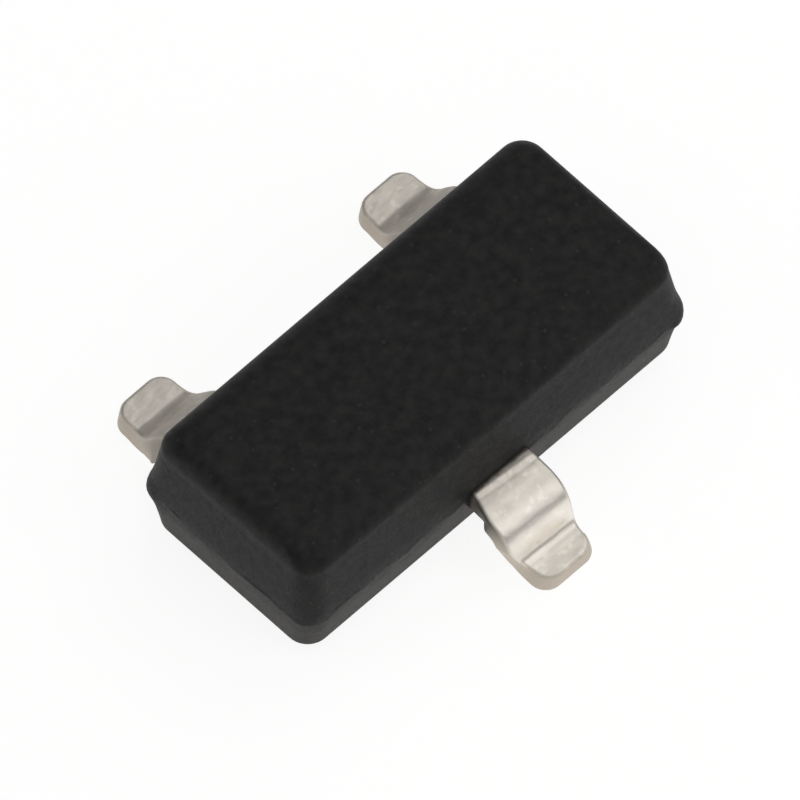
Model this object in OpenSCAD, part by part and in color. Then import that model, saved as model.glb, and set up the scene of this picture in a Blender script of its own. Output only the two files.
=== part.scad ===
// Small surface-mount transistor in the three-lead SOT-23 outline.
// A black moulded body holds a lead frame with one lead in front and two behind.
// Inside, a chip sits on the front lead's pad and two wires run from it to the rear leads.
// Origin: middle of the seating plane. X runs along the body, the front lead points to -Y, Z is up.

/* [Moulded body] */
// Length of the body at its parting line
body_length = 3; // [2.7:0.01:3.2]
// Width of the body at its parting line
body_width = 1.35; // [1.2:0.01:1.42]
// Height of the body from its underside to its top face
body_height = 0.9; // [0.78:0.01:1.2]
// Gap between the seating plane and the underside of the body
standoff = 0.1; // [0.02:0.01:0.2]
// Height of the parting line above the underside
parting_height = 0.35; // [0.25:0.01:0.42]
// Draft of the walls above the parting line, in degrees
upper_draft = 7; // [1:0.5:12]
// Draft of the walls below the parting line, in degrees
lower_draft = 9; // [1:0.5:14]
// How far the rounded top edge reaches in from each long wall
side_round = 0.24; // [0.05:0.01:0.3]
// How far the rounded top edge reaches in from each end wall
end_round = 0.1; // [0.05:0.01:0.3]
// Height of the rounded top edge
round_height = 0.16; // [0.05:0.01:0.25]
// Radius of the four upright corners
corner_radius = 0.14; // [0.05:0.01:0.2]
// How far the flash along the parting line stands out
flash_width = 0.015; // [0.005:0.005:0.04]
// Thickness of the flash
flash_thickness = 0.025; // [0.01:0.005:0.06]

/* [Leads] */
// Distance across the leads, from toe to toe
lead_span = 2.53; // [2.44:0.01:2.8]
// Distance between the two rear leads
lead_pitch = 1.9; // [1.7:0.01:2]
// Width of a lead where it leaves the body
root_width = 0.47; // [0.35:0.005:0.55]
// Width of a lead at its toe
toe_width = 0.41; // [0.3:0.005:0.5]
// Thickness of the lead strip
lead_thickness = 0.12; // [0.08:0.005:0.18]
// Length of the front foot, from the corner of its heel to its toe
front_foot = 0.225; // [0.18:0.005:0.28]
// Length of a rear foot, from the corner of its heel to its toe
rear_foot = 0.28; // [0.2:0.005:0.285]
// Slope of the front lead between its shoulder and its foot, in degrees
front_slope = 75; // [52:1:80]
// Slope of the rear leads between shoulder and foot, in degrees
rear_slope = 56; // [55:1:80]
// Inside radius of the bends
bend_radius = 0.06; // [0.03:0.005:0.09]
// Radius of the toe's corners, seen from above
toe_radius = 0.11; // [0.03:0.005:0.14]

/* [Lead frame inside the body] */
// Length of lead buried between the wall and the pad or post that it carries
neck_length = 0.275; // [0.2:0.005:0.32]
// Width of the chip pad, across the body
pad_width = 0.6; // [0.5:0.01:0.65]
// Clear gap along the body between the chip pad and each bond post
pad_gap = 0.17; // [0.08:0.01:0.25]
// Length of a bond post, along the body
post_length = 0.56; // [0.46:0.01:0.62]
// Width of a bond post, across the body
post_width = 0.26; // [0.18:0.01:0.32]

/* [Chip and wires] */
// Side of the square chip
chip_side = 0.42; // [0.3:0.01:0.46]
// Thickness of the chip
chip_thickness = 0.15; // [0.1:0.01:0.2]
// Thickness of the bond under the chip
bond_thickness = 0.02; // [0.01:0.005:0.04]
// How far the bond spreads past the chip's edges
bond_margin = 0.02; // [0.005:0.005:0.02]
// Distance between the two wire balls on the chip
ball_spacing = 0.2; // [0.12:0.01:0.3]
// Diameter of a wire ball
ball_diameter = 0.07; // [0.05:0.005:0.1]
// Height of a wire ball
ball_height = 0.02; // [0.01:0.005:0.03]
// Diameter of a wire
wire_diameter = 0.025; // [0.018:0.001:0.04]
// Height of a wire's loop above its ball
loop_height = 0.12; // [0.06:0.01:0.15]

/* [Hidden] */

epoxy_black = "#2c2c2b";
tinned_grey = "#cdc6bb";
silicon_grey = "#5d646c";
silver_paste = "#b4b0a6";
gold = "#d8aa3c";

// Heights above the seating plane
parting_z = standoff + parting_height;
top_z = standoff + body_height;
lead_low_z = parting_z - lead_thickness;
bond_top_z = parting_z + bond_thickness;
chip_top_z = bond_top_z + chip_thickness;
ball_top_z = chip_top_z + ball_height;

// Lead frame seen from above
neck_y = body_width / 2 - neck_length;
post_x = lead_pitch / 2;
post_y = neck_y - post_width / 2;
pad_length = lead_pitch - post_length - 2 * pad_gap;
pad_y = -neck_y + pad_width / 2;
toe_y = lead_span / 2;
bend_middle = bend_radius + lead_thickness / 2;

// Steps in each bend, upright corner, rounded top edge and wire loop, and sides of a wire
bend_steps = 6;
corner_steps = 8;
round_steps = 6;
loop_steps = 14;
wire_sides = 8;
arc_sides = 48;

// Points along an arc in a plane, from one angle to another
function arc(centre, radius, from, to, steps) = [
  for (i = [0:steps])
    let (angle = from + (to - from) * i / steps)
    centre + radius * [cos(angle), sin(angle)]
];

// Rounded rectangle at one height, as a ring of points
function body_ring(inset_x, inset_y, z) = [
  for (quarter = [0:3])
    let (
      sign_x = quarter == 0 || quarter == 3 ? 1 : -1,
      sign_y = quarter < 2 ? 1 : -1,
      centre = [
        sign_x * (body_length / 2 - inset_x - corner_radius),
        sign_y * (body_width / 2 - inset_y - corner_radius)
      ]
    )
    for (point = arc(centre, corner_radius, 90 * quarter, 90 * quarter + 90, corner_steps))
      [point.x, point.y, z]
];

// Drafted walls above and below the parting line, the flash between them and the rounded top edge
function body_rings() =
  let (
    flash_low_z = parting_z - flash_thickness,
    under_inset = parting_height * tan(lower_draft),
    flash_inset = flash_thickness * tan(lower_draft),
    wall_top_z = top_z - round_height,
    wall_inset = (wall_top_z - parting_z) * tan(upper_draft)
  )
  concat(
    [
      body_ring(under_inset, under_inset, standoff),
      body_ring(flash_inset, flash_inset, flash_low_z),
      body_ring(-flash_width, -flash_width, flash_low_z),
      body_ring(-flash_width, -flash_width, parting_z),
      body_ring(0, 0, parting_z)
    ],
    [
      for (i = [0:round_steps])
        let (angle = 90 * i / round_steps, reach = 1 - cos(angle))
        body_ring(
          wall_inset + end_round * reach,
          wall_inset + side_round * reach,
          wall_top_z + round_height * sin(angle)
        )
    ]
  );

// Side outline of a lead: buried strip, shoulder, slope and foot, as [distance from the middle, height]
function gull_wing(inner_y, foot, slope) =
  let (
    tangent = bend_middle * tan(slope / 2),
    heel_y = toe_y - foot,
    knee_y = heel_y - lead_low_z / tan(slope),
    knee = [knee_y - tangent, parting_z - lead_thickness / 2 - bend_middle],
    heel = [heel_y + tangent, lead_thickness / 2 + bend_middle],
    outside = bend_radius + lead_thickness
  )
  concat(
    [[inner_y, parting_z]],
    arc(knee, outside, 90, 90 - slope, bend_steps),
    arc(heel, bend_radius, 270 - slope, 270, bend_steps),
    [[toe_y, lead_thickness], [toe_y, 0]],
    arc(heel, outside, 270, 270 - slope, bend_steps),
    arc(knee, bend_radius, 90 - slope, 90, bend_steps),
    [[inner_y, lead_low_z]]
  );

// Point on a wire's loop, and the direction of the loop there
function loop_point(p, t) =
  pow(1 - t, 3) * p[0] + 3 * pow(1 - t, 2) * t * p[1] + 3 * (1 - t) * t * t * p[2] + pow(t, 3) * p[3];
function loop_slope(p, t) =
  pow(1 - t, 2) * (p[1] - p[0]) + 2 * (1 - t) * t * (p[2] - p[1]) + t * t * (p[3] - p[2]);

// Ring of a wire at a point, square to the direction in which the wire runs
function wire_ring(point, direction, side, radius) =
  let (along = direction / norm(direction), across = cross(side, along))
  [
    for (i = [0:wire_sides - 1])
      let (angle = 360 * i / wire_sides)
      point + radius * (cos(angle) * side + sin(angle) * across)
  ];

// Ball on the chip, then the loop over to the bond post
function wire_rings(side_x) =
  let (
    up = [0, 0, 1],
    ball = [side_x * ball_spacing / 2, pad_y, chip_top_z],
    start = [ball.x, ball.y, ball_top_z],
    end = [side_x * post_x, post_y, parting_z - wire_diameter],
    crest = loop_height * 4 / 3,
    controls = [
      start,
      start + crest * up,
      [(start.x + end.x) / 2, (start.y + end.y) / 2, ball_top_z + crest],
      end
    ],
    run = [end.x - start.x, end.y - start.y, 0],
    side = cross(up, run / norm(run))
  )
  concat(
    [
      wire_ring(ball, up, side, ball_diameter / 2),
      wire_ring(start, up, side, ball_diameter / 2)
    ],
    [
      for (i = [0:loop_steps])
        let (t = i / loop_steps)
        wire_ring(loop_point(controls, t), loop_slope(controls, t), side, wire_diameter / 2)
    ]
  );

// Closed skin over rings of points that all run the same way round
module skin(rings) {
  count = len(rings[0]);
  last = len(rings) - 1;
  sides = [
    for (i = [0:last - 1], j = [0:count - 1])
      let (a = i * count + j, b = i * count + (j + 1) % count)
      each [[a, a + count, b], [b, a + count, b + count]]
  ];
  floor_cap = [for (j = [0:count - 1]) j];
  top_cap = [for (j = [count - 1:-1:0]) last * count + j];
  polyhedron([for (ring = rings) each ring], concat(sides, [floor_cap, top_cap]), convexity = 6);
}

// One lead pointing to +Y, with the pad or post that it carries inside the body
module lead(plate_length, plate_width, foot, slope) {
  inner_y = neck_y - plate_width;
  toe_start = toe_y - toe_radius;
  intersection() {
    rotate([90, 0, 90])
      linear_extrude(max(plate_length, root_width), center = true)
        polygon(gull_wing(inner_y, foot, slope));
    linear_extrude(parting_z)
      union() {
        translate([-plate_length / 2, inner_y])
          square([plate_length, plate_width]);
        polygon([
          [-root_width / 2, neck_y],
          [root_width / 2, neck_y],
          [root_width / 2, body_width / 2],
          [toe_width / 2, toe_start],
          [-toe_width / 2, toe_start],
          [-root_width / 2, body_width / 2]
        ]);
        translate([toe_radius - toe_width / 2, toe_start])
          square([toe_width - 2 * toe_radius, toe_radius]);
        for (side = [-1, 1])
          translate([side * (toe_width / 2 - toe_radius), toe_start])
            circle(toe_radius, $fn = arc_sides);
      }
  }
}

module collector_lead() {
  color(tinned_grey)
    rotate(180)
      lead(pad_length, pad_width, front_foot, front_slope);
}

module base_lead() {
  color(tinned_grey)
    translate([post_x, 0, 0])
      lead(post_length, post_width, rear_foot, rear_slope);
}

module emitter_lead() {
  color(tinned_grey)
    translate([-post_x, 0, 0])
      lead(post_length, post_width, rear_foot, rear_slope);
}

module transistor_chip() {
  color(silicon_grey)
    translate([-chip_side / 2, pad_y - chip_side / 2, bond_top_z])
      cube([chip_side, chip_side, chip_thickness]);
}

module chip_bond() {
  bond_side = chip_side + 2 * bond_margin;
  color(silver_paste)
    translate([-bond_side / 2, pad_y - bond_side / 2, parting_z])
      cube([bond_side, bond_side, bond_thickness]);
}

// Wire from the chip to one rear lead, its tail pressed flush onto the bond post
module bond_wire(side_x) {
  color(gold)
    difference() {
      skin(wire_rings(side_x));
      translate([side_x * post_x - post_length / 2, post_y - post_width / 2, lead_low_z])
        cube([post_length, post_width, lead_thickness]);
    }
}

module base_wire() {
  bond_wire(1);
}

module emitter_wire() {
  bond_wire(-1);
}

module epoxy_body() {
  color(epoxy_black)
    difference() {
      skin(body_rings());
      collector_lead();
      base_lead();
      emitter_lead();
      transistor_chip();
      chip_bond();
      base_wire();
      emitter_wire();
    }
}

epoxy_body();
collector_lead();
base_lead();
emitter_lead();
transistor_chip();
chip_bond();
base_wire();
emitter_wire();
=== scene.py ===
import math

import bmesh
import bpy
from mathutils import Matrix, Vector, noise


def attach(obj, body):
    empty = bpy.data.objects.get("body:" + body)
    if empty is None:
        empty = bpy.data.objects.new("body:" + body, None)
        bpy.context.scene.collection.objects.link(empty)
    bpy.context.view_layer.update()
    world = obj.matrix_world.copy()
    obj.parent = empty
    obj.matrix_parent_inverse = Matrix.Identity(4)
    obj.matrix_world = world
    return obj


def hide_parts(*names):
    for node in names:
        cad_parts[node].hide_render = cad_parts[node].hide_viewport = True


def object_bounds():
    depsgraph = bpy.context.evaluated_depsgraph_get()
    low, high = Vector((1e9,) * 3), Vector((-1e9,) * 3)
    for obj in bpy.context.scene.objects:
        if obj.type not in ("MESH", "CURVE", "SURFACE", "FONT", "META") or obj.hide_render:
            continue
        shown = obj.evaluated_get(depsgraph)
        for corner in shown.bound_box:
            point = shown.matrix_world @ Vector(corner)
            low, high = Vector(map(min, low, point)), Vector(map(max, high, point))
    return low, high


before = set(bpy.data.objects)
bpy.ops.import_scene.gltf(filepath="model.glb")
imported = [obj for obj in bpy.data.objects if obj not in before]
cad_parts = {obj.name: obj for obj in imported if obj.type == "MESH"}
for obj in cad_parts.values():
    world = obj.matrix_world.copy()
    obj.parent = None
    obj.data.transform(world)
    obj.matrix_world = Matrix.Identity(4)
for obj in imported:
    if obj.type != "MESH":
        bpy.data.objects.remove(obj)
cad_low, cad_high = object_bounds()

# Sizes of the solids in millimetres: the overall ones from the frame, the others as in the part's source
MM = 0.001
FLASH_WIDTH = 0.015
FLASH_THICKNESS = 0.025
BODY_LENGTH = (cad_high[0] - cad_low[0]) / MM - 2 * FLASH_WIDTH
BODY_WIDTH = 1.35
STANDOFF = 0.1
PARTING_Z = 0.45
TOP_Z = cad_high[2] / MM
UPPER_DRAFT = math.radians(7)
LOWER_DRAFT = math.radians(9)
SIDE_ROUND = 0.24
END_ROUND = 0.1
ROUND_HEIGHT = 0.16
CORNER_RADIUS = 0.14
TOE_Y = cad_high[1] / MM
LEAD_PITCH = 1.9
ROOT_WIDTH = 0.47
TOE_WIDTH = 0.41
LEAD_THICKNESS = 0.12
FRONT_FOOT = 0.225
REAR_FOOT = 0.28
REAR_SLOPE = math.radians(56)
TOE_RADIUS = 0.11
NECK_Y = 0.4
PAD_LENGTH = 1.0
PAD_WIDTH = 0.6
POST_LENGTH = 0.56
POST_WIDTH = 0.26

# Softer and finer forms of the moulded body than the plain solid has, in millimetres
PARTING_SOFTNESS = 0.06  # height over which one draft turns into the other
UNDER_EDGE = 0.015  # radius of the edge round the underside
END_DRAFT_SHARE = 0.75  # slope of the lower end walls, as a share of the lower draft
FLASH_Z = PARTING_Z - 0.045
FLASH_SPREAD = 0.03
STUB_Z = PARTING_Z - FLASH_THICKNESS / 2
STUB_SPREAD = 0.095
STUB_REACH = 0.024

# Softer and finer forms of the bent strip than the plain solid has, in millimetres
FRONT_SLOPE = math.radians(71.5)  # a little less steep than the solid's
FRONT_KNEE = 0.14
FRONT_HEEL = 0.1
REAR_KNEE = 0.2
REAR_HEEL = 0.12
SHOULDER_TILT = math.radians(6)
ROLLED_EDGE = 0.022  # radius of the upper edges, rolled over by the punch
SHEARED_EDGE = 0.008  # radius of the lower edges
SIDE_SLANT = 0.01  # how far the sheared sides lean out
RIDGE_HEIGHT = 0.003
DENT_SIZE = 0.09

# Nearly all values of a noise texture lie between these
NOISE_LOW = 0.3
NOISE_HIGH = 0.7


def linear(code):
    """Linear colour of an sRGB hex value."""
    parts = [int(code[i:i + 2], 16) / 255 for i in (1, 3, 5)]
    return [p / 12.92 if p <= 0.04045 else ((p + 0.055) / 1.055) ** 2.4 for p in parts] + [1.0]


def add_node(tree, kind, links=None, **settings):
    """Adds a node. Settings are its own properties; links give each input a value, a socket or a node."""
    made = tree.nodes.new(kind)
    for name, value in settings.items():
        setattr(made, name, value)
    for key, value in (links or {}).items():
        if isinstance(value, bpy.types.Node):
            value = value.outputs[0]
        if isinstance(value, bpy.types.NodeSocket):
            tree.links.new(value, made.inputs[key])
        else:
            made.inputs[key].default_value = value
    return made


def new_finish(name):
    """An empty material and its node tree."""
    finish = bpy.data.materials.new(name)
    finish.use_nodes = True
    finish.node_tree.nodes.clear()
    return finish, finish.node_tree


def black_epoxy_as_moulded():
    """Silica-filled epoxy from a spark-eroded mould: nearly black, matt and finely mottled, with grey filler
    specks. Below the parting line the walls are painted paler, a painted reflection of the pale floor."""
    # Millimetres: eroded mould's craters, filler grains and specks, and the painted reflection's uneven edge
    mottle_width = 0.07
    grain_width = 0.018
    speck_cell = 0.035
    speck_share = 0.05
    sheen_edge_width = 0.2
    sheen_edge_wander = 0.2
    sheen_full_z = PARTING_Z - 0.06
    sheen_end_z = PARTING_Z + 0.04

    finish, tree = new_finish("black_epoxy_as_moulded")
    place = add_node(tree, "ShaderNodeTexCoord").outputs["Object"]
    mottle = add_node(
        tree, "ShaderNodeTexNoise", {"Vector": place, "Scale": 1 / (mottle_width * MM), "Detail": 3.0},
    ).outputs["Fac"]
    grain = add_node(
        tree, "ShaderNodeTexNoise", {"Vector": place, "Scale": 1 / (grain_width * MM), "Detail": 2.0},
    ).outputs["Fac"]
    sheen_edge_noise = add_node(
        tree, "ShaderNodeTexNoise", {"Vector": place, "Scale": 1 / (sheen_edge_width * MM), "Detail": 2.0},
    ).outputs["Fac"]

    # Dark and less dark cells of resin
    cells = add_node(tree, "ShaderNodeMapRange", {"Value": mottle, "From Min": 0.32, "From Max": 0.68})
    resin = add_node(
        tree, "ShaderNodeMix", {0: cells, 6: linear("#1e1e1e"), 7: linear("#2d2d2c")}, data_type="RGBA",
    ).outputs[2]

    # Painted floor reflection: lower walls painted paler, with an edge that wanders up and down the wall
    height = add_node(tree, "ShaderNodeSeparateXYZ", {0: place}).outputs["Z"]
    uneven = add_node(
        tree, "ShaderNodeMath", {0: sheen_edge_noise, 1: sheen_edge_wander * MM, 2: height}, operation="MULTIPLY_ADD",
    )
    floor_sheen_share = add_node(
        tree, "ShaderNodeMapRange",
        {"Value": uneven, "From Min": sheen_full_z * MM, "From Max": sheen_end_z * MM,
         "To Min": 1.0, "To Max": 0.0},
    )
    # Paler colour of the painted reflection below the parting line
    with_floor_sheen = add_node(
        tree, "ShaderNodeMix", {0: floor_sheen_share, 6: resin, 7: linear("#494845")}, data_type="RGBA",
    ).outputs[2]

    # A few of the filler's cells show as specks
    filler = add_node(
        tree, "ShaderNodeTexVoronoi", {"Vector": place, "Scale": 1 / (speck_cell * MM)},
    ).outputs
    near_speck = add_node(
        tree, "ShaderNodeMapRange",
        {"Value": filler["Distance"], "From Min": 0.05, "From Max": 0.45, "To Min": 1.0, "To Max": 0.0},
    )
    chance = add_node(tree, "ShaderNodeSeparateColor", {"Color": filler["Color"]}).outputs["Red"]
    is_speck = add_node(tree, "ShaderNodeMath", {0: chance, 1: 1 - speck_share}, operation="GREATER_THAN")
    speck = add_node(tree, "ShaderNodeMath", {0: near_speck, 1: is_speck}, operation="MULTIPLY")
    speckled = add_node(
        tree, "ShaderNodeMix", {0: speck, 6: with_floor_sheen, 7: linear("#3a3937")}, data_type="RGBA",
    ).outputs[2]

    roughness = add_node(
        tree, "ShaderNodeMapRange",
        {"Value": grain, "From Min": NOISE_LOW, "From Max": NOISE_HIGH, "To Min": 0.52, "To Max": 0.66},
    )
    erosion = add_node(tree, "ShaderNodeBump", {"Height": mottle, "Strength": 0.4, "Distance": 0.004 * MM})
    relief = add_node(
        tree, "ShaderNodeBump",
        {"Height": grain, "Strength": 0.3, "Distance": 0.0015 * MM, "Normal": erosion},
    )
    # The pits of the eroded surface swallow much of the shine, so less of it is left than the IOR gives
    shader = add_node(
        tree, "ShaderNodeBsdfPrincipled",
        {"Base Color": speckled, "Roughness": roughness, "IOR": 1.55, "Specular IOR Level": 0.16,
         "Normal": relief},
    )
    add_node(tree, "ShaderNodeOutputMaterial", {"Surface": shader})
    return finish


def matt_tin_over_copper_alloy():
    """Electroplated matt tin on stamped strip: soft grey metal with a warm cast, fine crystals and pale
    smudges. Bends are polished smoother or left rougher, and polished bends carry a painted highlight.
    Sheared faces show dull brownish alloy. Painted shade darkens the strip near the body, and a film of
    resin darkens it where it leaves the body."""
    # Millimetres. Real crystals are a few micrometres wide, so they are drawn coarser to show
    blotch_width = 0.09
    smudge_width = 0.06
    crystal_width = 0.016
    film_wander = 0.03
    film_full_y = BODY_WIDTH / 2 - 0.005
    film_end_y = BODY_WIDTH / 2 + 0.015
    # Values of the strip's own marks: cut_edge grows from 0 on the flat to the sheared face,
    # polish_and_highlight is small
    rolled_end = 0.4
    bare_start = 0.8
    bare_end = 2.2
    # Gain of the painted highlight on polished bends
    highlight_gain = 6.0
    sheared_roughness = 0.7

    finish, tree = new_finish("matt_tin_over_copper_alloy")
    place = add_node(tree, "ShaderNodeTexCoord").outputs["Object"]
    blotch = add_node(
        tree, "ShaderNodeTexNoise", {"Vector": place, "Scale": 1 / (blotch_width * MM), "Detail": 2.0},
    ).outputs["Fac"]
    smudges = add_node(
        tree, "ShaderNodeTexNoise", {"Vector": place, "Scale": 1 / (smudge_width * MM), "Detail": 2.0},
    ).outputs["Fac"]
    crystal = add_node(
        tree, "ShaderNodeTexNoise", {"Vector": place, "Scale": 1 / (crystal_width * MM), "Detail": 2.0},
    ).outputs["Fac"]
    cut = add_node(tree, "ShaderNodeAttribute", attribute_name="cut_edge").outputs["Fac"]
    polish_and_highlight = add_node(tree, "ShaderNodeAttribute", attribute_name="polish_and_highlight").outputs["Fac"]
    # Painted shade near the body, darker grey mixed into the plating
    painted_shade = add_node(tree, "ShaderNodeAttribute", attribute_name="painted_shade").outputs["Fac"]

    # How much of each mark lies on the plating
    smudge = add_node(
        tree, "ShaderNodeMapRange", {"Value": smudges, "From Min": 0.56, "From Max": 0.68, "To Max": 0.9},
    )
    # Painted highlight: polished bends are painted paler
    bend_highlight_paint = add_node(
        tree, "ShaderNodeMath", {0: polish_and_highlight, 1: highlight_gain}, operation="MULTIPLY", use_clamp=True,
    )
    bare = add_node(tree, "ShaderNodeMapRange", {"Value": cut, "From Min": bare_start, "From Max": bare_end})
    across_body = add_node(tree, "ShaderNodeSeparateXYZ", {0: place}).outputs["Y"]
    from_middle = add_node(tree, "ShaderNodeMath", {0: across_body}, operation="ABSOLUTE")
    uneven = add_node(
        tree, "ShaderNodeMath", {0: blotch, 1: -film_wander * MM, 2: from_middle}, operation="MULTIPLY_ADD",
    )
    film = add_node(
        tree, "ShaderNodeMapRange",
        {"Value": uneven, "From Min": film_full_y * MM, "From Max": film_end_y * MM,
         "To Min": 0.85, "To Max": 0.0},
    )
    colour = add_node(
        tree, "ShaderNodeMix", {0: blotch, 6: linear("#dbd6cc"), 7: linear("#fff6ea")}, data_type="RGBA",
    ).outputs[2]
    # Colour marks: smudges, painted highlight on bends, bare alloy, painted shade near the body, resin film
    for amount, code in ((smudge, "#fff8ee"), (bend_highlight_paint, "#fffaf2"), (bare, "#d6ccc0"), (painted_shade, "#5a5856"),
                         (film, "#3a322b")):
        colour = add_node(
            tree, "ShaderNodeMix", {0: amount, 6: colour, 7: linear(code)}, data_type="RGBA",
        ).outputs[2]

    # Polish takes roughness away, and the rolled and sheared edges are dull
    roughness = add_node(
        tree, "ShaderNodeMapRange",
        {"Value": crystal, "From Min": NOISE_LOW, "From Max": NOISE_HIGH, "To Min": 0.4, "To Max": 0.46},
    )
    polished = add_node(tree, "ShaderNodeMath", {0: roughness, 1: polish_and_highlight}, operation="SUBTRACT")
    rolled = add_node(tree, "ShaderNodeMapRange", {"Value": cut, "From Max": rolled_end})
    worn = add_node(
        tree, "ShaderNodeMix", {0: rolled, 2: polished, 3: sheared_roughness}, data_type="FLOAT",
    )
    dents = add_node(tree, "ShaderNodeBump", {"Height": blotch, "Strength": 0.5, "Distance": 0.003 * MM})
    relief = add_node(
        tree, "ShaderNodeBump",
        {"Height": crystal, "Strength": 0.3, "Distance": 0.0015 * MM, "Normal": dents},
    )
    shader = add_node(
        tree, "ShaderNodeBsdfPrincipled",
        {"Base Color": colour, "Metallic": 1.0, "Roughness": worn, "Normal": relief},
    )
    add_node(tree, "ShaderNodeOutputMaterial", {"Surface": shader})
    return finish


def sawn_silicon():
    """Silicon cut from a wafer: dark grey with a bluish mirror shine and fine saw lines on its sides."""
    cloud_width = 0.12  # millimetres
    saw_width = 0.16  # millimetres that hold about three saw lines
    finish, tree = new_finish("sawn_silicon")
    place = add_node(tree, "ShaderNodeTexCoord").outputs["Object"]
    cloud = add_node(
        tree, "ShaderNodeTexNoise", {"Vector": place, "Scale": 1 / (cloud_width * MM), "Detail": 2.0},
    ).outputs["Fac"]
    saw = add_node(
        tree, "ShaderNodeTexWave", {"Vector": place, "Scale": 1 / (saw_width * MM), "Distortion": 1.5},
        bands_direction="Z",
    ).outputs["Fac"]
    tone = add_node(
        tree, "ShaderNodeMix", {0: cloud, 6: linear("#4f565e"), 7: linear("#6b727b")}, data_type="RGBA",
    ).outputs[2]
    relief = add_node(tree, "ShaderNodeBump", {"Height": saw, "Strength": 0.3, "Distance": 0.001 * MM})
    shader = add_node(
        tree, "ShaderNodeBsdfPrincipled",
        {"Base Color": tone, "Roughness": 0.22, "IOR": 3.9, "Normal": relief},
    )
    add_node(tree, "ShaderNodeOutputMaterial", {"Surface": shader})
    return finish


def cured_silver_epoxy():
    """Die-attach paste after curing: dull silver flakes in resin, so grey and grainy with small glints."""
    flake_width = 0.012  # millimetres, coarser than most real flakes so that they show
    finish, tree = new_finish("cured_silver_epoxy")
    place = add_node(tree, "ShaderNodeTexCoord").outputs["Object"]
    flakes = add_node(
        tree, "ShaderNodeTexVoronoi", {"Vector": place, "Scale": 1 / (flake_width * MM)},
    ).outputs
    glint = add_node(tree, "ShaderNodeSeparateColor", {"Color": flakes["Color"]}).outputs["Red"]
    tone = add_node(
        tree, "ShaderNodeMix", {0: glint, 6: linear("#9c988f"), 7: linear("#c4c0b6")}, data_type="RGBA",
    ).outputs[2]
    relief = add_node(
        tree, "ShaderNodeBump", {"Height": flakes["Distance"], "Strength": 0.5, "Distance": 0.003 * MM},
    )
    shader = add_node(
        tree, "ShaderNodeBsdfPrincipled",
        {"Base Color": tone, "Metallic": 0.6, "Roughness": 0.55, "Normal": relief},
    )
    add_node(tree, "ShaderNodeOutputMaterial", {"Surface": shader})
    return finish


def drawn_gold_wire():
    """Gold pulled through a die and bonded: bright yellow metal with a faint drawn grain."""
    grain_width = 0.008  # millimetres, coarser than the real grain so that it shows
    finish, tree = new_finish("drawn_gold_wire")
    place = add_node(tree, "ShaderNodeTexCoord").outputs["Object"]
    grain = add_node(
        tree, "ShaderNodeTexNoise", {"Vector": place, "Scale": 1 / (grain_width * MM), "Detail": 2.0},
    ).outputs["Fac"]
    tone = add_node(
        tree, "ShaderNodeMix", {0: grain, 6: linear("#e0b050"), 7: linear("#f4cc78")}, data_type="RGBA",
    ).outputs[2]
    relief = add_node(tree, "ShaderNodeBump", {"Height": grain, "Strength": 0.3, "Distance": 0.0006 * MM})
    shader = add_node(
        tree, "ShaderNodeBsdfPrincipled",
        {"Base Color": tone, "Metallic": 1.0, "Roughness": 0.25, "Normal": relief},
    )
    add_node(tree, "ShaderNodeOutputMaterial", {"Surface": shader})
    return finish


def white_card():
    """Plain white card under the object: matt and white. What a camera or a reflection sees of it is mostly
    an even glow, so that it stays white and keeps a soft shadow."""
    glow_share = 0.75
    glow_level = 1.175
    finish, tree = new_finish("white_card")
    ray = add_node(tree, "ShaderNodeLightPath").outputs
    seen = add_node(
        tree, "ShaderNodeMath", {0: ray["Is Camera Ray"], 1: ray["Is Glossy Ray"]}, operation="MAXIMUM",
    )
    seen = add_node(tree, "ShaderNodeMath", {0: seen, 1: ray["Is Transmission Ray"]}, operation="MAXIMUM")
    share = add_node(tree, "ShaderNodeMath", {0: seen, 1: glow_share}, operation="MULTIPLY")
    card = add_node(tree, "ShaderNodeBsdfDiffuse", {"Color": linear("#f6f5f3")})
    glow = add_node(tree, "ShaderNodeEmission", {"Color": linear("#ffffff"), "Strength": glow_level})
    mixed = add_node(tree, "ShaderNodeMixShader", {0: share, 1: card, 2: glow})
    add_node(tree, "ShaderNodeOutputMaterial", {"Surface": mixed})
    return finish


EPOXY = black_epoxy_as_moulded()
TIN = matt_tin_over_copper_alloy()


def new_piece(name, mesh):
    """An object at the origin, with its place in its mesh."""
    piece = bpy.data.objects.new(name, mesh)
    bpy.context.scene.collection.objects.link(piece)
    return piece


# Points round one ring of the body: to a quarter turn, along a long side and along an end
CORNER_STEPS = 10
LONG_STEPS = 110
SHORT_STEPS = 44


def wall_outline(inset_x, inset_y, radius):
    """Rounded rectangle as (x, y, outward x, outward y), anticlockwise seen from above, in millimetres."""
    half_x = BODY_LENGTH / 2 - inset_x - radius
    half_y = BODY_WIDTH / 2 - inset_y - radius
    centres = [(half_x, half_y), (-half_x, half_y), (-half_x, -half_y), (half_x, -half_y)]
    points = []
    for quarter, (x, y) in enumerate(centres):
        for i in range(CORNER_STEPS + 1):
            angle = math.pi / 2 * (quarter + i / CORNER_STEPS)
            out_x, out_y = math.cos(angle), math.sin(angle)
            points.append((x + radius * out_x, y + radius * out_y, out_x, out_y))
        next_x, next_y = centres[(quarter + 1) % 4]
        steps = LONG_STEPS if quarter % 2 == 0 else SHORT_STEPS
        for i in range(1, steps):
            share = i / steps
            points.append((
                x + (next_x - x) * share + radius * out_x,
                y + (next_y - y) * share + radius * out_y,
                out_x,
                out_y,
            ))
    return points


# Rings of the body: insets in millimetres on the underside, shares of the half width on the top face, and
# steps on the rounded edges. The rings lie close together in a band round the parting line
UNDER_INSETS = (0.6, 0.45, 0.3, 0.15, 0.08)
TOP_SHARES = (0.08, 0.18, 0.3, 0.45, 0.6, 0.75, 0.88)
LEAST_CORNER = 0.02
UNDER_EDGE_STEPS = 4
TOP_EDGE_STEPS = 16
BAND_LOW_Z = PARTING_Z - 0.07
BAND_HIGH_Z = PARTING_Z + 0.06


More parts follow.
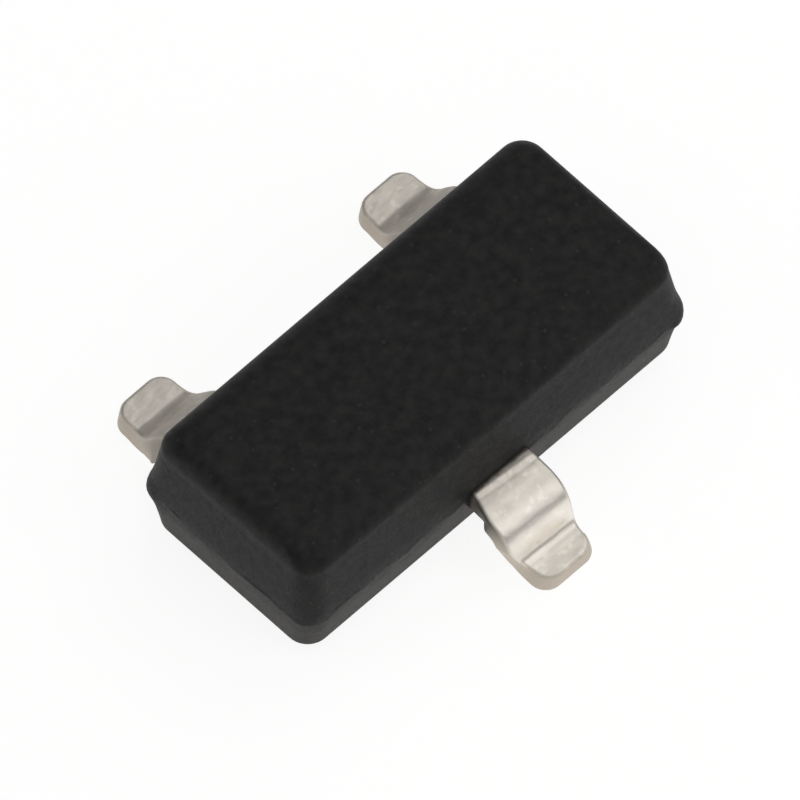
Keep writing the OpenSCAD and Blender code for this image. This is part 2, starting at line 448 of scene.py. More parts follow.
def body_levels():
    """Rings of the body from its underside to its top face. Each has its insets at the ends and the sides,
    its corner radius, its height, and how near it is to the corner stubs and to the flash."""
    under_inset = (PARTING_Z - STANDOFF - PARTING_SOFTNESS) * math.tan(LOWER_DRAFT)
    wall_top_z = TOP_Z - ROUND_HEIGHT
    wall_inset = (wall_top_z - PARTING_Z - PARTING_SOFTNESS) * math.tan(UPPER_DRAFT)
    levels = []
    for inset in UNDER_INSETS:
        corner = max(CORNER_RADIUS - inset, LEAST_CORNER)
        levels.append((under_inset * END_DRAFT_SHARE + inset, under_inset + inset, corner, STANDOFF, 0, 0))
    for i in range(UNDER_EDGE_STEPS + 1):
        angle = math.pi / 2 * i / UNDER_EDGE_STEPS
        inset = under_inset - UNDER_EDGE * math.tan(LOWER_DRAFT) + UNDER_EDGE * (1 - math.sin(angle))
        end_inset = inset - under_inset * (1 - END_DRAFT_SHARE)
        z = STANDOFF + UNDER_EDGE * (1 - math.cos(angle))
        levels.append((end_inset, inset, CORNER_RADIUS, z, 0, 0))
    for start_z, end_z, steps, draft in (
        (STANDOFF + UNDER_EDGE, BAND_LOW_Z, 6, LOWER_DRAFT),
        (BAND_LOW_Z, PARTING_Z, 10, LOWER_DRAFT),
        (PARTING_Z, BAND_HIGH_Z, 10, UPPER_DRAFT),
        (BAND_HIGH_Z, wall_top_z, 8, UPPER_DRAFT),
    ):
        for i in range(1, steps + 1):
            z = start_z + (end_z - start_z) * i / steps
            inset = (math.hypot(z - PARTING_Z, PARTING_SOFTNESS) - PARTING_SOFTNESS) * math.tan(draft)
            end_inset = inset * (END_DRAFT_SHARE if z < PARTING_Z else 1)
            near_stub = math.exp(-((z - STUB_Z) / STUB_SPREAD) ** 2)
            near_flash = math.exp(-((z - FLASH_Z) / FLASH_SPREAD) ** 2)
            levels.append((end_inset, inset, CORNER_RADIUS, z, near_stub, near_flash))
    for i in range(1, TOP_EDGE_STEPS + 1):
        angle = math.pi / 2 * i / TOP_EDGE_STEPS
        share = 1 - math.cos(angle)
        end_inset = wall_inset + END_ROUND * share
        inset = wall_inset + SIDE_ROUND * share
        z = wall_top_z + ROUND_HEIGHT * math.sin(angle)
        levels.append((end_inset, inset, CORNER_RADIUS, z, 0, 0))
    top_half_width = BODY_WIDTH / 2 - wall_inset - SIDE_ROUND
    for share in TOP_SHARES:
        inset = top_half_width * share
        corner = max(CORNER_RADIUS - inset, LEAST_CORNER)
        levels.append((wall_inset + END_ROUND + inset, wall_inset + SIDE_ROUND + inset, corner, TOP_Z, 0, 0))
    return levels


# Flash: width of its teeth and how far it wanders up and down, in millimetres. Its reach is given as shares
# of its full width
FLASH_TOOTH = 0.13
FLASH_WANDER = 0.08
FLASH_MEAN = 0.2
FLASH_SWING = 0.4
FLASH_LEAST = 0.03
FLASH_MOST = 0.6
TOOTH_SEED = 3.7
WANDER_SEED = Vector((0, 0, 9.1))
WANDER_STRETCH = 0.8


def moulded_body():
    """Body skinned over its rings. A ragged flash runs along the soft parting line, and two opposite corners
    keep the small stubs of the mould's gate and vent."""
    shape = bmesh.new()
    rings = []
    for inset_x, inset_y, radius, z, near_stub, near_flash in body_levels():
        ring = []
        for x, y, out_x, out_y in wall_outline(inset_x, inset_y, radius):
            spot = Vector((x / FLASH_TOOTH, y / FLASH_TOOTH, TOOTH_SEED))
            ragged = min(max(FLASH_MEAN + FLASH_SWING * noise.noise(spot), FLASH_LEAST), FLASH_MOST)
            at_corner = max(-2 * out_x * out_y, 0)  # 1 at the two corners where x and y differ in sign
            stand = near_flash * FLASH_WIDTH * ragged + near_stub * STUB_REACH * at_corner
            lift = FLASH_WANDER * near_flash * noise.noise(spot * WANDER_STRETCH + WANDER_SEED)
            place = (x + out_x * stand, y + out_y * stand, z + lift)
            ring.append(shape.verts.new([MM * value for value in place]))
        rings.append(ring)
    for low, high in zip(rings, rings[1:]):
        for i in range(len(low)):
            j = (i + 1) % len(low)
            shape.faces.new((low[i], low[j], high[j], high[i]))
    shape.faces.new(list(reversed(rings[0])))
    shape.faces.new(rings[-1])
    mesh = bpy.data.meshes.new("epoxy_body_moulded")
    shape.to_mesh(mesh)
    shape.free()
    mesh.shade_smooth()
    mesh.materials.append(EPOXY)
    return new_piece("epoxy_body_moulded", mesh)


# How a strip is drawn: stations along it, points across it, and where the edges of its sheets begin
STRIP_STATIONS = 240
STRIP_POINTS = 61
ROOT_EDGE = 0.01
TOE_EDGE = 0.975
SIDE_EDGE = 0.9
TOE_CROWDING = 1.6
MERGE_DISTANCE = 0.00002  # millimetres

# Places along a lead outside the body, in millimetres from the wall
FLARE_RAMP = 0.09
UPPER_FLARE_START = 0.02
UPPER_FLARE_END = 0.22
CLAMP_MARKS = (
    # place, width, and height as a share of the ridge's: the ridge, then the groove beside it
    (0.035, 0.02, 1.0),
    (0.068, 0.014, -0.35),
)
# Painted shade on the strip near the body, on its sheared sides and at its root
PAINTED_SHADES = (
    # name, place where it fades, place where it is faint, and share that is left there
    ("Side painted shade", 0.2, 0.32, 0.0),
    ("Root painted shade", 0.18, 0.34, 0.3),
)

# Shares: where the taper starts between the wall and the toe's corners, where the flare ends on the slope,
# and how deep dents lie. Places across the strip count half for them, which draws them out that way
TAPER_START = 0.42
FLARE_END = 0.5
DENT_LEVEL = 0.7
DENT_ACROSS = 0.5

# How strongly bends, rolled edges and sheared faces mark the finish
BEND_GAIN = 3.0
ROLL_GAIN = 3.0
SHEAR_GAIN = 8.0

STRIP_INPUTS = (
    "Plate half length", "Neck place", "Wall place", "Root half width", "Toe half width", "Toe place",
    "Toe radius", "Strip thickness", "Rolled edge radius", "Sheared edge radius", "Side slant",
    "Shoulder flare", "Flare start", "Upper flare", "Shoulder height", "Skew", "Bend polish and highlight", "Side painted shade",
    "Root painted shade", "Ridge height", "Dent depth", "Dent size", "Seed",
)


def bent_strip_tree():
    """Geometry nodes that wrap a flat strip round a bent path: a sheet above and one below, closed at their
    edges."""
    tree = bpy.data.node_groups.new("bent_strip", "GeometryNodeTree")
    tree.interface.new_socket("Path", in_out="INPUT", socket_type="NodeSocketGeometry")
    for name in STRIP_INPUTS:
        tree.interface.new_socket(name, in_out="INPUT", socket_type="NodeSocketFloat")
    tree.interface.new_socket("Finish", in_out="INPUT", socket_type="NodeSocketMaterial")
    tree.interface.new_socket("Strip", in_out="OUTPUT", socket_type="NodeSocketGeometry")
    given = add_node(tree, "NodeGroupInput").outputs
    toe_radius = given["Toe radius"]

    # The sheet's own coordinates: along runs from 0 at the buried end to 1 at the toe, and across from 0 in
    # the middle to 1 at either side
    sheet = add_node(
        tree, "GeometryNodeMeshGrid",
        {"Size X": 1.0, "Size Y": 2.0, "Vertices X": STRIP_STATIONS, "Vertices Y": STRIP_POINTS},
    )
    flat = add_node(tree, "ShaderNodeSeparateXYZ", {0: add_node(tree, "GeometryNodeInputPosition")}).outputs
    along = add_node(tree, "ShaderNodeMath", {0: flat["X"], 1: 0.5}, operation="ADD")
    across = add_node(tree, "ShaderNodeMath", {0: flat["Y"]}, operation="ABSOLUTE")

    # The outermost rows of the sheet turn down to be its edges, and stations crowd towards the toe
    toe_wall = add_node(tree, "ShaderNodeMapRange", {"Value": along, "From Min": TOE_EDGE})
    root_wall = add_node(
        tree, "ShaderNodeMapRange", {"Value": along, "From Max": ROOT_EDGE, "To Min": 1.0, "To Max": 0.0},
    )
    side_wall = add_node(tree, "ShaderNodeMapRange", {"Value": across, "From Min": SIDE_EDGE})
    wall = add_node(tree, "ShaderNodeMath", {0: toe_wall, 1: root_wall}, operation="MAXIMUM")
    wall = add_node(tree, "ShaderNodeMath", {0: wall, 1: side_wall}, operation="MAXIMUM")
    on_face = add_node(tree, "ShaderNodeMath", {0: 1.0, 1: wall}, operation="SUBTRACT")
    run = add_node(
        tree, "ShaderNodeMapRange",
        {"Value": along, "From Min": ROOT_EDGE, "From Max": TOE_EDGE, "To Min": 1.0, "To Max": 0.0},
    )
    left = add_node(tree, "ShaderNodeMath", {0: run, 1: TOE_CROWDING}, operation="POWER")
    share = add_node(tree, "ShaderNodeMath", {0: 1.0, 1: left}, operation="SUBTRACT")
    length = add_node(tree, "GeometryNodeCurveLength", {"Curve": given["Path"]})
    distance = add_node(tree, "ShaderNodeMath", {0: share, 1: length}, operation="MULTIPLY")
    spot = add_node(
        tree, "GeometryNodeSampleCurve", {"Curves": given["Path"], "Length": distance},
        mode="LENGTH", use_all_curves=True,
    ).outputs
    path = add_node(tree, "ShaderNodeSeparateXYZ", {0: spot["Position"]}).outputs
    heading = add_node(tree, "ShaderNodeSeparateXYZ", {0: spot["Tangent"]}).outputs
    from_wall = add_node(
        tree, "ShaderNodeMath", {0: path["Y"], 1: given["Wall place"]}, operation="SUBTRACT",
    )

    # Half width by place: plate inside the body, then a taper towards the toe, with round toe corners
    toe_start = add_node(
        tree, "ShaderNodeMath", {0: given["Toe place"], 1: toe_radius}, operation="SUBTRACT",
    )
    taper_start = add_node(
        tree, "ShaderNodeMix", {0: TAPER_START, 2: given["Wall place"], 3: toe_start}, data_type="FLOAT",
    )
    taper = add_node(
        tree, "ShaderNodeMapRange",
        {"Value": path["Y"], "From Min": taper_start, "From Max": toe_start,
         "To Min": given["Root half width"], "To Max": given["Toe half width"]},
        interpolation_type="SMOOTHSTEP",
    )
    on_plate = add_node(
        tree, "ShaderNodeMath", {0: path["Y"], 1: given["Neck place"]}, operation="LESS_THAN",
    )
    half = add_node(
        tree, "ShaderNodeMix", {0: on_plate, 2: taper, 3: given["Plate half length"]}, data_type="FLOAT",
    )
    past = add_node(tree, "ShaderNodeMath", {0: path["Y"], 1: toe_start}, operation="SUBTRACT")
    past = add_node(tree, "ShaderNodeClamp", {"Value": past, "Min": 0.0, "Max": toe_radius})
    past_squared = add_node(tree, "ShaderNodeMath", {0: past, 1: past}, operation="MULTIPLY")
    toe_squared = add_node(tree, "ShaderNodeMath", {0: toe_radius, 1: toe_radius}, operation="MULTIPLY")
    chord = add_node(tree, "ShaderNodeMath", {0: toe_squared, 1: past_squared}, operation="SUBTRACT")
    chord = add_node(tree, "ShaderNodeMath", {0: chord}, operation="SQRT")
    inner_half = add_node(tree, "ShaderNodeMath", {0: half, 1: toe_radius}, operation="SUBTRACT")
    round_half = add_node(tree, "ShaderNodeMath", {0: inner_half, 1: chord}, operation="ADD")
    half_thick = add_node(
        tree, "ShaderNodeMath", {0: given["Strip thickness"], 1: 0.5}, operation="MULTIPLY",
    )

    # Points crowd towards the sides
    crowded = add_node(
        tree, "ShaderNodeMapRange",
        {"Value": flat["Y"], "From Min": -SIDE_EDGE, "From Max": SIDE_EDGE,
         "To Min": -math.pi / 2, "To Max": math.pi / 2},
    )
    crowded = add_node(tree, "ShaderNodeMath", {0: crowded}, operation="SINE")

    # How far up the slope a point is, outside the body: the bends are a little skew there
    climb = add_node(
        tree, "ShaderNodeMapRange",
        {"Value": path["Z"], "From Min": half_thick, "From Max": given["Shoulder height"]},
    )
    outside = add_node(
        tree, "ShaderNodeMath", {0: path["Y"], 1: given["Wall place"]}, operation="GREATER_THAN",
    )
    climb = add_node(tree, "ShaderNodeMath", {0: climb, 1: outside}, operation="MULTIPLY")
    skewed = add_node(tree, "ShaderNodeMath", {0: climb, 1: given["Skew"]}, operation="MULTIPLY")
    slide = add_node(tree, "ShaderNodeMath", {0: skewed, 1: crowded}, operation="MULTIPLY")

    # One side flares where the tie bar was cut, and the flare fades out on the lower part of the slope
    fading = add_node(
        tree, "ShaderNodeMath", {0: climb, 1: 1 / FLARE_END}, operation="MULTIPLY", use_clamp=True,
    )
    past_start = add_node(
        tree, "ShaderNodeMath", {0: from_wall, 1: given["Flare start"]}, operation="SUBTRACT",
    )
    begun = add_node(
        tree, "ShaderNodeMapRange", {"Value": past_start, "From Max": FLARE_RAMP * MM},
        interpolation_type="SMOOTHSTEP",
    )
    flared = add_node(tree, "ShaderNodeMath", {0: begun, 1: fading}, operation="MULTIPLY")
    flared = add_node(tree, "ShaderNodeMath", {0: flared, 1: given["Shoulder flare"]}, operation="MULTIPLY")
    flared = add_node(tree, "ShaderNodeMath", {0: flared, 1: crowded}, operation="MULTIPLY")
    flared = add_node(tree, "ShaderNodeMath", {0: flared, 1: given["Side slant"]}, operation="MAXIMUM")
    upper_begun = add_node(
        tree, "ShaderNodeMapRange",
        {"Value": from_wall, "From Min": UPPER_FLARE_START * MM, "From Max": UPPER_FLARE_END * MM},
        interpolation_type="SMOOTHSTEP",
    )
    upper = add_node(tree, "ShaderNodeMath", {0: upper_begun, 1: fading}, operation="MULTIPLY")
    upper = add_node(tree, "ShaderNodeMath", {0: upper, 1: given["Upper flare"]}, operation="MULTIPLY")
    upper = add_node(tree, "ShaderNodeMath", {0: upper, 1: crowded}, operation="MULTIPLY")
    upper = add_node(tree, "ShaderNodeMath", {0: upper, 1: 0.0}, operation="MAXIMUM")
    drawn_in = add_node(tree, "ShaderNodeMath", {0: given["Side slant"], 1: upper}, operation="SUBTRACT")
    mid_growth = add_node(tree, "ShaderNodeMath", {0: flared, 1: drawn_in}, operation="SUBTRACT")
    mid_growth = add_node(tree, "ShaderNodeMath", {0: mid_growth, 1: 0.5}, operation="MULTIPLY")

    # Shallow dents from handling, and the ridge and groove that the mould's clamp leaves at the wall
    fine = add_node(tree, "ShaderNodeMath", {0: 1.0, 1: given["Dent size"]}, operation="DIVIDE")
    across_place = add_node(tree, "ShaderNodeMath", {0: crowded, 1: round_half}, operation="MULTIPLY")
    drawn_out = add_node(tree, "ShaderNodeMath", {0: across_place, 1: DENT_ACROSS}, operation="MULTIPLY")
    flat_spot = add_node(tree, "ShaderNodeCombineXYZ", {"X": drawn_out, "Y": distance, "Z": 0.0})
    dent = add_node(
        tree, "ShaderNodeTexNoise",
        {"Vector": flat_spot, "W": given["Seed"], "Scale": fine, "Detail": 1.5}, noise_dimensions="4D",
    )
    dent = add_node(tree, "ShaderNodeMath", {0: dent, 1: -DENT_LEVEL}, operation="ADD")
    dent = add_node(tree, "ShaderNodeMath", {0: dent, 1: given["Dent depth"]}, operation="MULTIPLY")
    ridge = 0.0
    for place, width, size in CLAMP_MARKS:
        step = add_node(tree, "ShaderNodeMath", {0: from_wall, 1: -place * MM}, operation="ADD")
        step = add_node(tree, "ShaderNodeMath", {0: step, 1: width * MM}, operation="DIVIDE")
        step = add_node(tree, "ShaderNodeMath", {0: step, 1: 2.0}, operation="POWER")
        step = add_node(tree, "ShaderNodeMath", {0: step, 1: -1.0}, operation="MULTIPLY")
        step = add_node(tree, "ShaderNodeMath", {0: step}, operation="EXPONENT")
        ridge = add_node(tree, "ShaderNodeMath", {0: step, 1: size, 2: ridge}, operation="MULTIPLY_ADD")
    relief = add_node(
        tree, "ShaderNodeMath", {0: ridge, 1: given["Ridge height"], 2: dent}, operation="MULTIPLY_ADD",
    )

    # Marks for the finish: polish and a painted highlight on the slope and its bends, and painted shade
    # that fades away from the body
    tilted = add_node(tree, "ShaderNodeMath", {0: 1.0, 1: heading["Y"]}, operation="SUBTRACT")
    tilted = add_node(
        tree, "ShaderNodeMath", {0: tilted, 1: BEND_GAIN}, operation="MULTIPLY", use_clamp=True,
    )
    # Polish on the bends also sets the painted highlight in the finish
    polish_and_highlight = add_node(tree, "ShaderNodeMath", {0: tilted, 1: given["Bend polish and highlight"]}, operation="MULTIPLY")
    polished = add_node(
        tree, "GeometryNodeStoreNamedAttribute", {"Geometry": sheet, "Name": "polish_and_highlight", "Value": polish_and_highlight},
        data_type="FLOAT", domain="POINT",
    )
    painted_shades = {}
    for name, start, end, left_share in PAINTED_SHADES:
        faint = add_node(tree, "ShaderNodeMath", {0: given[name], 1: left_share}, operation="MULTIPLY")
        painted_shades[name] = add_node(
            tree, "ShaderNodeMapRange",
            {"Value": from_wall, "From Min": start * MM, "From Max": end * MM,
             "To Min": given[name], "To Max": faint},
        )

    # Upper sheet with rolled edges and lower sheet with sheared edges, drawn in or out from the mid outline
    sheets = []
    for sign, spread, radius, extra in ((1.0, drawn_in, given["Rolled edge radius"], relief),
                                        (-1.0, flared, given["Sheared edge radius"], 0.0)):
        widened = add_node(tree, "ShaderNodeMath", {0: spread, 1: -sign}, operation="MULTIPLY")
        grown = add_node(
            tree, "ShaderNodeMix", {0: on_face, 2: mid_growth, 3: widened}, data_type="FLOAT",
        )
        sheet_half = add_node(tree, "ShaderNodeMath", {0: round_half, 1: grown}, operation="ADD")
        side = add_node(tree, "ShaderNodeMath", {0: crowded, 1: sheet_half}, operation="MULTIPLY")

        # Distance in from the outline, and how far the rounded edge drops there
        sheet_inner = add_node(tree, "ShaderNodeMath", {0: widened, 1: inner_half}, operation="ADD")
        out_x = add_node(tree, "ShaderNodeMath", {0: side}, operation="ABSOLUTE")
        out_x = add_node(tree, "ShaderNodeMath", {0: out_x, 1: sheet_inner}, operation="SUBTRACT")
        out_x = add_node(tree, "ShaderNodeMath", {0: out_x, 1: 0.0}, operation="MAXIMUM")
        out_far = add_node(
            tree, "ShaderNodeMath", {0: out_x, 1: out_x, 2: past_squared}, operation="MULTIPLY_ADD",
        )
        out_far = add_node(tree, "ShaderNodeMath", {0: out_far}, operation="SQRT")
        inside = add_node(tree, "ShaderNodeMath", {0: toe_radius, 1: out_far}, operation="SUBTRACT")
        short = add_node(tree, "ShaderNodeMath", {0: radius, 1: inside}, operation="SUBTRACT")
        short = add_node(tree, "ShaderNodeClamp", {"Value": short, "Min": 0.0, "Max": radius})
        short_squared = add_node(tree, "ShaderNodeMath", {0: short, 1: short}, operation="MULTIPLY")
        edge_squared = add_node(tree, "ShaderNodeMath", {0: radius, 1: radius}, operation="MULTIPLY")
        rise = add_node(tree, "ShaderNodeMath", {0: edge_squared, 1: short_squared}, operation="SUBTRACT")
        rise = add_node(tree, "ShaderNodeMath", {0: rise}, operation="SQRT")
        drop = add_node(tree, "ShaderNodeMath", {0: radius, 1: rise}, operation="SUBTRACT")

        # Mark of the sheared faces, for the finish: it sets in on the rounded edge, and the painted shade
        # follows it
        rolled = add_node(tree, "ShaderNodeMath", {0: drop, 1: radius}, operation="DIVIDE")
        rolled = add_node(tree, "ShaderNodeMath", {0: rolled, 1: ROLL_GAIN}, operation="MULTIPLY")
        cut = add_node(tree, "ShaderNodeMath", {0: wall, 1: SHEAR_GAIN, 2: rolled}, operation="MULTIPLY_ADD")
        # Painted shade near the body, on the sheared faces and at the root of the strip
        painted_shade = add_node(tree, "ShaderNodeMath", {0: cut, 1: 1.0}, operation="MINIMUM")
        painted_shade = add_node(tree, "ShaderNodeMath", {0: painted_shade, 1: painted_shades["Side painted shade"]}, operation="MULTIPLY")
        painted_shade = add_node(tree, "ShaderNodeMath", {0: painted_shade, 1: painted_shades["Root painted shade"]}, operation="MAXIMUM")
        marked = polished
        for mark, value in (("cut_edge", cut), ("painted_shade", painted_shade)):
            marked = add_node(
                tree, "GeometryNodeStoreNamedAttribute", {"Geometry": marked, "Name": mark, "Value": value},
                data_type="FLOAT", domain="POINT",
            )

        # Place of each point, square to the path
        stand = add_node(tree, "ShaderNodeMath", {0: half_thick, 1: drop}, operation="SUBTRACT")
        stand = add_node(tree, "ShaderNodeMath", {0: stand, 1: extra}, operation="ADD")
        off = add_node(tree, "ShaderNodeMath", {0: stand, 1: on_face}, operation="MULTIPLY")
        off = add_node(tree, "ShaderNodeMath", {0: off, 1: sign}, operation="MULTIPLY")
        back = add_node(tree, "ShaderNodeMath", {0: heading["Z"], 1: -1.0}, operation="MULTIPLY")
        y = add_node(tree, "ShaderNodeMath", {0: off, 1: back, 2: path["Y"]}, operation="MULTIPLY_ADD")
        y = add_node(tree, "ShaderNodeMath", {0: y, 1: slide}, operation="ADD")
        z = add_node(
            tree, "ShaderNodeMath", {0: off, 1: heading["Y"], 2: path["Z"]}, operation="MULTIPLY_ADD",
        )
        where = add_node(tree, "ShaderNodeCombineXYZ", {"X": side, "Y": y, "Z": z})
        sheets.append(add_node(tree, "GeometryNodeSetPosition", {"Geometry": marked, "Position": where}))
    sheets[0] = add_node(tree, "GeometryNodeFlipFaces", {"Mesh": sheets[0]})
    both = add_node(tree, "GeometryNodeJoinGeometry")
    for one in sheets:
        tree.links.new(one.outputs[0], both.inputs[0])
    closed = add_node(
        tree, "GeometryNodeMergeByDistance", {"Geometry": both, "Distance": MERGE_DISTANCE * MM},
    )
    smooth = add_node(tree, "GeometryNodeSetShadeSmooth", {"Geometry": closed})
    real = add_node(tree, "GeometryNodeRealizeInstances", {"Geometry": smooth})
    finished = add_node(tree, "GeometryNodeSetMaterial", {"Geometry": real, "Material": given["Finish"]})
    add_node(tree, "NodeGroupOutput", {0: finished})
    return tree


STRIP = bent_strip_tree()
BEND_STEPS = 16


def strip_path(inner_y, foot, slope, knee_radius, heel_radius):
    """Middle line of a lead from its buried end to its toe, as (y, z) in millimetres."""
    half = LEAD_THICKNESS / 2
    knee = knee_radius + half
    heel = heel_radius + half
    heel_y = TOE_Y - foot
    low_z = PARTING_Z - LEAD_THICKNESS
    wall_y = BODY_WIDTH / 2
    shoulder_z = PARTING_Z - half
    knee_y = heel_y - low_z / math.tan(slope)
    lean = (knee_y - wall_y) * math.tan(SHOULDER_TILT)
    corner_y = knee_y + lean / (math.tan(slope) - math.tan(SHOULDER_TILT))
    corner_z = shoulder_z - (corner_y - wall_y) * math.tan(SHOULDER_TILT)
    setback = knee * math.tan((slope - SHOULDER_TILT) / 2)
    start_y = corner_y - setback * math.cos(SHOULDER_TILT)
    start_z = corner_z + setback * math.sin(SHOULDER_TILT)
    knee_centre_y = start_y - knee * math.sin(SHOULDER_TILT)
    knee_centre_z = start_z - knee * math.cos(SHOULDER_TILT)
    heel_centre_y = heel_y + heel * math.tan(slope / 2)
    heel_centre_z = half + heel
    points = [(inner_y, shoulder_z)]
    if start_y > wall_y:
        points.append((wall_y, shoulder_z))
    for i in range(BEND_STEPS + 1):
        angle = SHOULDER_TILT + (slope - SHOULDER_TILT) * i / BEND_STEPS
        points.append((knee_centre_y + knee * math.sin(angle), knee_centre_z + knee * math.cos(angle)))
    for i in range(BEND_STEPS + 1):
        angle = slope * (1 - i / BEND_STEPS)
        points.append((heel_centre_y - heel * math.sin(angle), heel_centre_z - heel * math.cos(angle)))
    points.append((TOE_Y, half))
    return points


def bent_lead(name, points, look, turn, shift_x):
    """One lead made along its bent path with its own look, then turned and moved to its place."""
    line = bpy.data.curves.new(name + "_path", "CURVE")
    line.dimensions = "3D"
    spline = line.splines.new("POLY")
    spline.points.add(len(points) - 1)
    for point, (y, z) in zip(spline.points, points):
        point.co = (0, y * MM, z * MM, 1)
    guide = bpy.data.objects.new(name + "_guide", line)
    bpy.context.scene.collection.objects.link(guide)
    bend = guide.modifiers.new("bend", "NODES")
    bend.node_group = STRIP
    values = {
        "Neck place": NECK_Y * MM,
        "Wall place": BODY_WIDTH / 2 * MM,
        "Root half width": ROOT_WIDTH / 2 * MM,
        "Toe half width": TOE_WIDTH / 2 * MM,
        "Toe place": TOE_Y * MM,
        "Toe radius": TOE_RADIUS * MM,
        "Strip thickness": LEAD_THICKNESS * MM,
        "Rolled edge radius": ROLLED_EDGE * MM,
        "Sheared edge radius": SHEARED_EDGE * MM,
        "Side slant": SIDE_SLANT * MM,
        "Shoulder height": (PARTING_Z - LEAD_THICKNESS / 2) * MM,
        "Ridge height": RIDGE_HEIGHT * MM,
        "Dent size": DENT_SIZE * MM,
        "Finish": TIN,
        **look,
    }
    for item in STRIP.interface.items_tree:
        if item.in_out == "INPUT" and item.name in values:
            bend[item.identifier] = values[item.name]
    ready = guide.evaluated_get(bpy.context.evaluated_depsgraph_get())
    mesh = bpy.data.meshes.new_from_object(ready)
    guide.modifiers.clear()
    bpy.data.objects.remove(guide)
    mesh.name = name
    shape = bmesh.new()
    shape.from_mesh(mesh)
    bmesh.ops.recalc_face_normals(shape, faces=shape.faces)
    shape.to_mesh(mesh)
    shape.free()
    mesh.transform(Matrix.Translation((shift_x * MM, 0, 0)) @ Matrix.Rotation(turn, 4, "Z"))
    return new_piece(name, mesh)


def stand_for(piece, node):
    """Puts a finished piece in the place of a plain CAD node."""
    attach(piece, "root")
    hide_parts(node)


# What differs from lead to lead. A negative flare widens the other side, a negative polish dulls the
# bends, and a positive one also paints a highlight on them
COLLECTOR_LOOK = {
    "Plate half length": PAD_LENGTH / 2 * MM,
    "Shoulder flare": 0.045 * MM,
    "Flare start": 0.13 * MM,
    "Upper flare": 0.05 * MM,
    "Skew": -0.02 * MM,
    "Bend polish and highlight": 0.07,
    "Side painted shade": 0.75,
    "Root painted shade": 0.0,
    "Dent depth": 0.0035 * MM,
    "Seed": 1.0,
}
REAR_LOOK = {
    "Plate half length": POST_LENGTH / 2 * MM,
    "Upper flare": 0.0,
    "Skew": 0.0,
    "Bend polish and highlight": -0.3,
    "Side painted shade": 0.2,
    "Root painted shade": 0.4,
    "Dent depth": 0.0045 * MM,
}
BASE_LOOK = {**REAR_LOOK, "Shoulder flare": -0.06 * MM, "Flare start": -0.08 * MM, "Seed": 5.0}
EMITTER_LOOK = {**REAR_LOOK, "Shoulder flare": -0.075 * MM, "Flare start": -0.1 * MM, "Seed": 9.0}
FRONT_PATH = strip_path(NECK_Y - PAD_WIDTH, FRONT_FOOT, FRONT_SLOPE, FRONT_KNEE, FRONT_HEEL)
REAR_PATH = strip_path(NECK_Y - POST_WIDTH, REAR_FOOT, REAR_SLOPE, REAR_KNEE, REAR_HEEL)

stand_for(moulded_body(), "epoxy_body")
stand_for(
    bent_lead("collector_lead_bent", FRONT_PATH, COLLECTOR_LOOK, math.pi, 0),
    "collector_lead",
)
stand_for(
    bent_lead("base_lead_bent", REAR_PATH, BASE_LOOK, 0, LEAD_PITCH / 2),
    "base_lead",
)
stand_for(
    bent_lead("emitter_lead_bent", REAR_PATH, EMITTER_LOOK, 0, -LEAD_PITCH / 2),
    "emitter_lead",
)

# The pieces inside the body keep their CAD meshes
GOLD = drawn_gold_wire()
for node, finish in (("transistor_chip", sawn_silicon()), ("chip_bond", cured_silver_epoxy()),
                     ("base_wire", GOLD), ("emitter_wire", GOLD)):
    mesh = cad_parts[node].data
    mesh.materials.clear()
    mesh.materials.append(finish)

# Floor, a hair below the seating plane so that the soles don't lie in its face. Millimetres
FLOOR_RADIUS = 300
FLOOR_STEPS = 96
FLOOR_DROP = 0.0005
disc = bmesh.new()
bmesh.ops.create_circle(disc, cap_ends=True, radius=FLOOR_RADIUS * MM, segments=FLOOR_STEPS)
floor_mesh = bpy.data.meshes.new("floor")
disc.to_mesh(floor_mesh)
disc.free()
floor_mesh.transform(Matrix.Translation((0, 0, -FLOOR_DROP * MM)))
floor_mesh.materials.append(white_card())
floor = new_piece("floor", floor_mesh)

LAMP_DISTANCE = 40  # millimetres


def soft_box(name, azimuth, elevation, spread, level):
    """Round soft lamp that faces the object. Angles in degrees, spread from its middle to its rim.
    Level 1 is as bright as white card in plain light."""
    turn, lift = math.radians(azimuth), math.radians(elevation)
    way = Vector((math.cos(turn) * math.cos(lift), math.sin(turn) * math.cos(lift), math.sin(lift)))
    radius = LAMP_DISTANCE * math.tan(math.radians(spread)) * MM
    lamp = bpy.data.lights.new(name, "AREA")
    lamp.shape = "DISK"
    lamp.size = 2 * radius
    lamp.energy = level * (math.pi * radius) ** 2
    stand = bpy.data.objects.new(name, lamp)
    stand.location = way * LAMP_DISTANCE * MM
    stand.rotation_mode = "QUATERNION"
    stand.rotation_quaternion = (-way).to_track_quat("-Z", "Y")
    bpy.context.scene.collection.objects.link(stand)


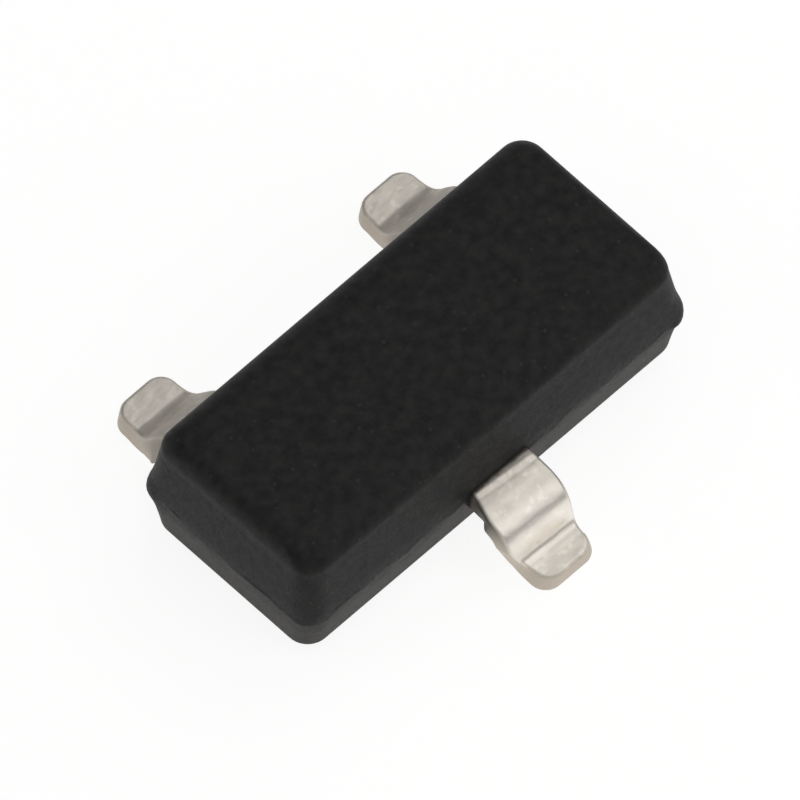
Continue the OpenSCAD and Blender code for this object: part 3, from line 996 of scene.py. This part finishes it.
soft_box("overhead", 0, 90, 30, 0.5)
soft_box("front_right", -65, 39, 22, 1.1)
soft_box("right", 10, 50, 24, 0.9)
soft_box("left_fill", 150, 36, 26, 0.42)
soft_box("back", 60, 22, 18, 0.22)
soft_box("near_fill", 225, 38, 24, 0.4)

# Dim room above the horizon, and white below it so that a low view shows no band past the floor's rim
ROOM_LEVEL = 0.08
BELOW_LEVEL = 1.0
HORIZON_BAND = 0.01
world = bpy.data.worlds.new("room")
world.use_nodes = True
world.node_tree.nodes.clear()
direction = add_node(world.node_tree, "ShaderNodeTexCoord").outputs["Generated"]
height = add_node(world.node_tree, "ShaderNodeSeparateXYZ", {0: direction}).outputs["Z"]
level = add_node(
    world.node_tree, "ShaderNodeMapRange",
    {"Value": height, "From Min": -HORIZON_BAND, "From Max": 0.0,
     "To Min": BELOW_LEVEL, "To Max": ROOM_LEVEL},
)
room = add_node(world.node_tree, "ShaderNodeBackground", {"Color": linear("#ffffff"), "Strength": level})
add_node(world.node_tree, "ShaderNodeOutputWorld", {"Surface": room})
bpy.context.scene.world = world

# Camera at the photograph's angle, without perspective. The picture's middle is in pixels from the origin
AZIMUTH = math.radians(-44.5)
ELEVATION = math.radians(59.6)
PIXELS_PER_MM = 178.0
PICTURE_PIXELS = 800
MIDDLE_RIGHT = -14.9
MIDDLE_UP = 36.2
CAMERA_DISTANCE = 20  # millimetres
right = Vector((math.cos(AZIMUTH), math.sin(AZIMUTH), 0))
back = Vector((
    math.sin(AZIMUTH) * math.cos(ELEVATION), -math.cos(AZIMUTH) * math.cos(ELEVATION), math.sin(ELEVATION),
))
up = back.cross(right)
lens = bpy.data.cameras.new("camera")
lens.type = "ORTHO"
lens.ortho_scale = PICTURE_PIXELS / PIXELS_PER_MM * MM
lens.clip_start = 0.5 * MM
lens.clip_end = 1.0
camera = bpy.data.objects.new("camera", lens)
target = (right * MIDDLE_RIGHT + up * MIDDLE_UP) * (MM / PIXELS_PER_MM)
camera.location = target + back * CAMERA_DISTANCE * MM
camera.rotation_mode = "QUATERNION"
camera.rotation_quaternion = (-back).to_track_quat("-Z", "Y")
bpy.context.scene.collection.objects.link(camera)
bpy.context.scene.camera = camera
bpy.context.scene.view_settings.view_transform = "Standard"
